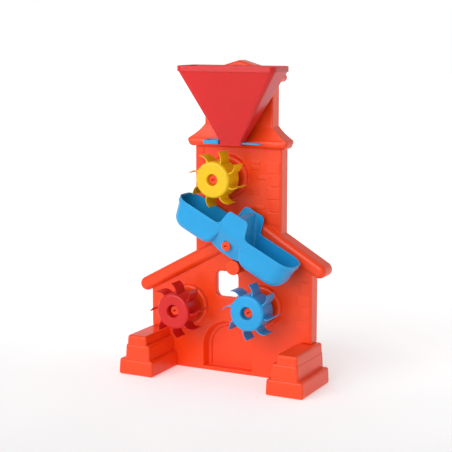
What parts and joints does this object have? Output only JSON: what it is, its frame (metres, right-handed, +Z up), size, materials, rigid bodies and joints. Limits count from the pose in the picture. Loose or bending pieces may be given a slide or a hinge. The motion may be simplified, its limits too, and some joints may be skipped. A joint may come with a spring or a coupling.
{
  "type": "sand and water mill",
  "caption": "Free-standing sand and water play tower with a hopper and slide gate, bucket wheels on pins and a tipping double trough on a pivot.",
  "frame": {"origin": "on the floor, under the middle of the overall footprint", "axes": "+X to the viewer's right, +Y to the back, +Z up"},
  "size_m": [0.394, 0.1268, 0.6],
  "materials": {
    "orange_plastic": "glossy blow-moulded polyethylene",
    "red_plastic": "satin injection-moulded",
    "blue_plastic": "satin injection-moulded",
    "yellow_plastic": "satin injection-moulded",
    "zinc_plated_steel": "zinc plated"
  },
  "bodies": {
    "frame": {"body": "orange_plastic", "left_foot": "orange_plastic", "right_foot": "orange_plastic", "hopper": "red_plastic", "pin_top": "orange_plastic", "pin_left": "orange_plastic", "pin_right": "orange_plastic", "pin_rocker": "orange_plastic", "stop_peg": "orange_plastic", "nut_top": "orange_plastic", "nut_left": "orange_plastic", "nut_right": "orange_plastic", "nut_rocker": "orange_plastic", "foot_screw_left": "zinc_plated_steel", "foot_screw_right": "zinc_plated_steel", "hopper_screw_left": "zinc_plated_steel", "hopper_screw_right": "zinc_plated_steel"},
    "top_wheel": {"wheel_top": "yellow_plastic"},
    "left_wheel": {"wheel_left": "red_plastic"},
    "right_wheel": {"wheel_right": "blue_plastic"},
    "tipping_trough": {"rocker": "blue_plastic"},
    "gate": {"slide_gate": "blue_plastic"}
  },
  "joints": [
    {"name": "top_wheel_spin", "type": "hinge", "parent": "frame", "child": "top_wheel", "pos_m": [-0.0035, -0.0095, 0.3832], "axis": [0, -1, 0], "continuous": true},
    {"name": "left_wheel_spin", "type": "hinge", "parent": "frame", "child": "left_wheel", "pos_m": [-0.0883, -0.0095, 0.1272], "axis": [0, -1, 0], "continuous": true},
    {"name": "right_wheel_spin", "type": "hinge", "parent": "frame", "child": "right_wheel", "pos_m": [0.0675, -0.0095, 0.1395], "axis": [0, -1, 0], "continuous": true},
    {"name": "trough_tip", "type": "hinge", "parent": "frame", "child": "tipping_trough", "pos_m": [0.0286, -0.012, 0.2637], "axis": [0, -1, 0], "range_deg": [0, 54.8]},
    {"name": "gate_slide", "type": "slide", "parent": "frame", "child": "gate", "axis": [-1, 0, 0], "range_m": [0, 0.034]}
  ]
}
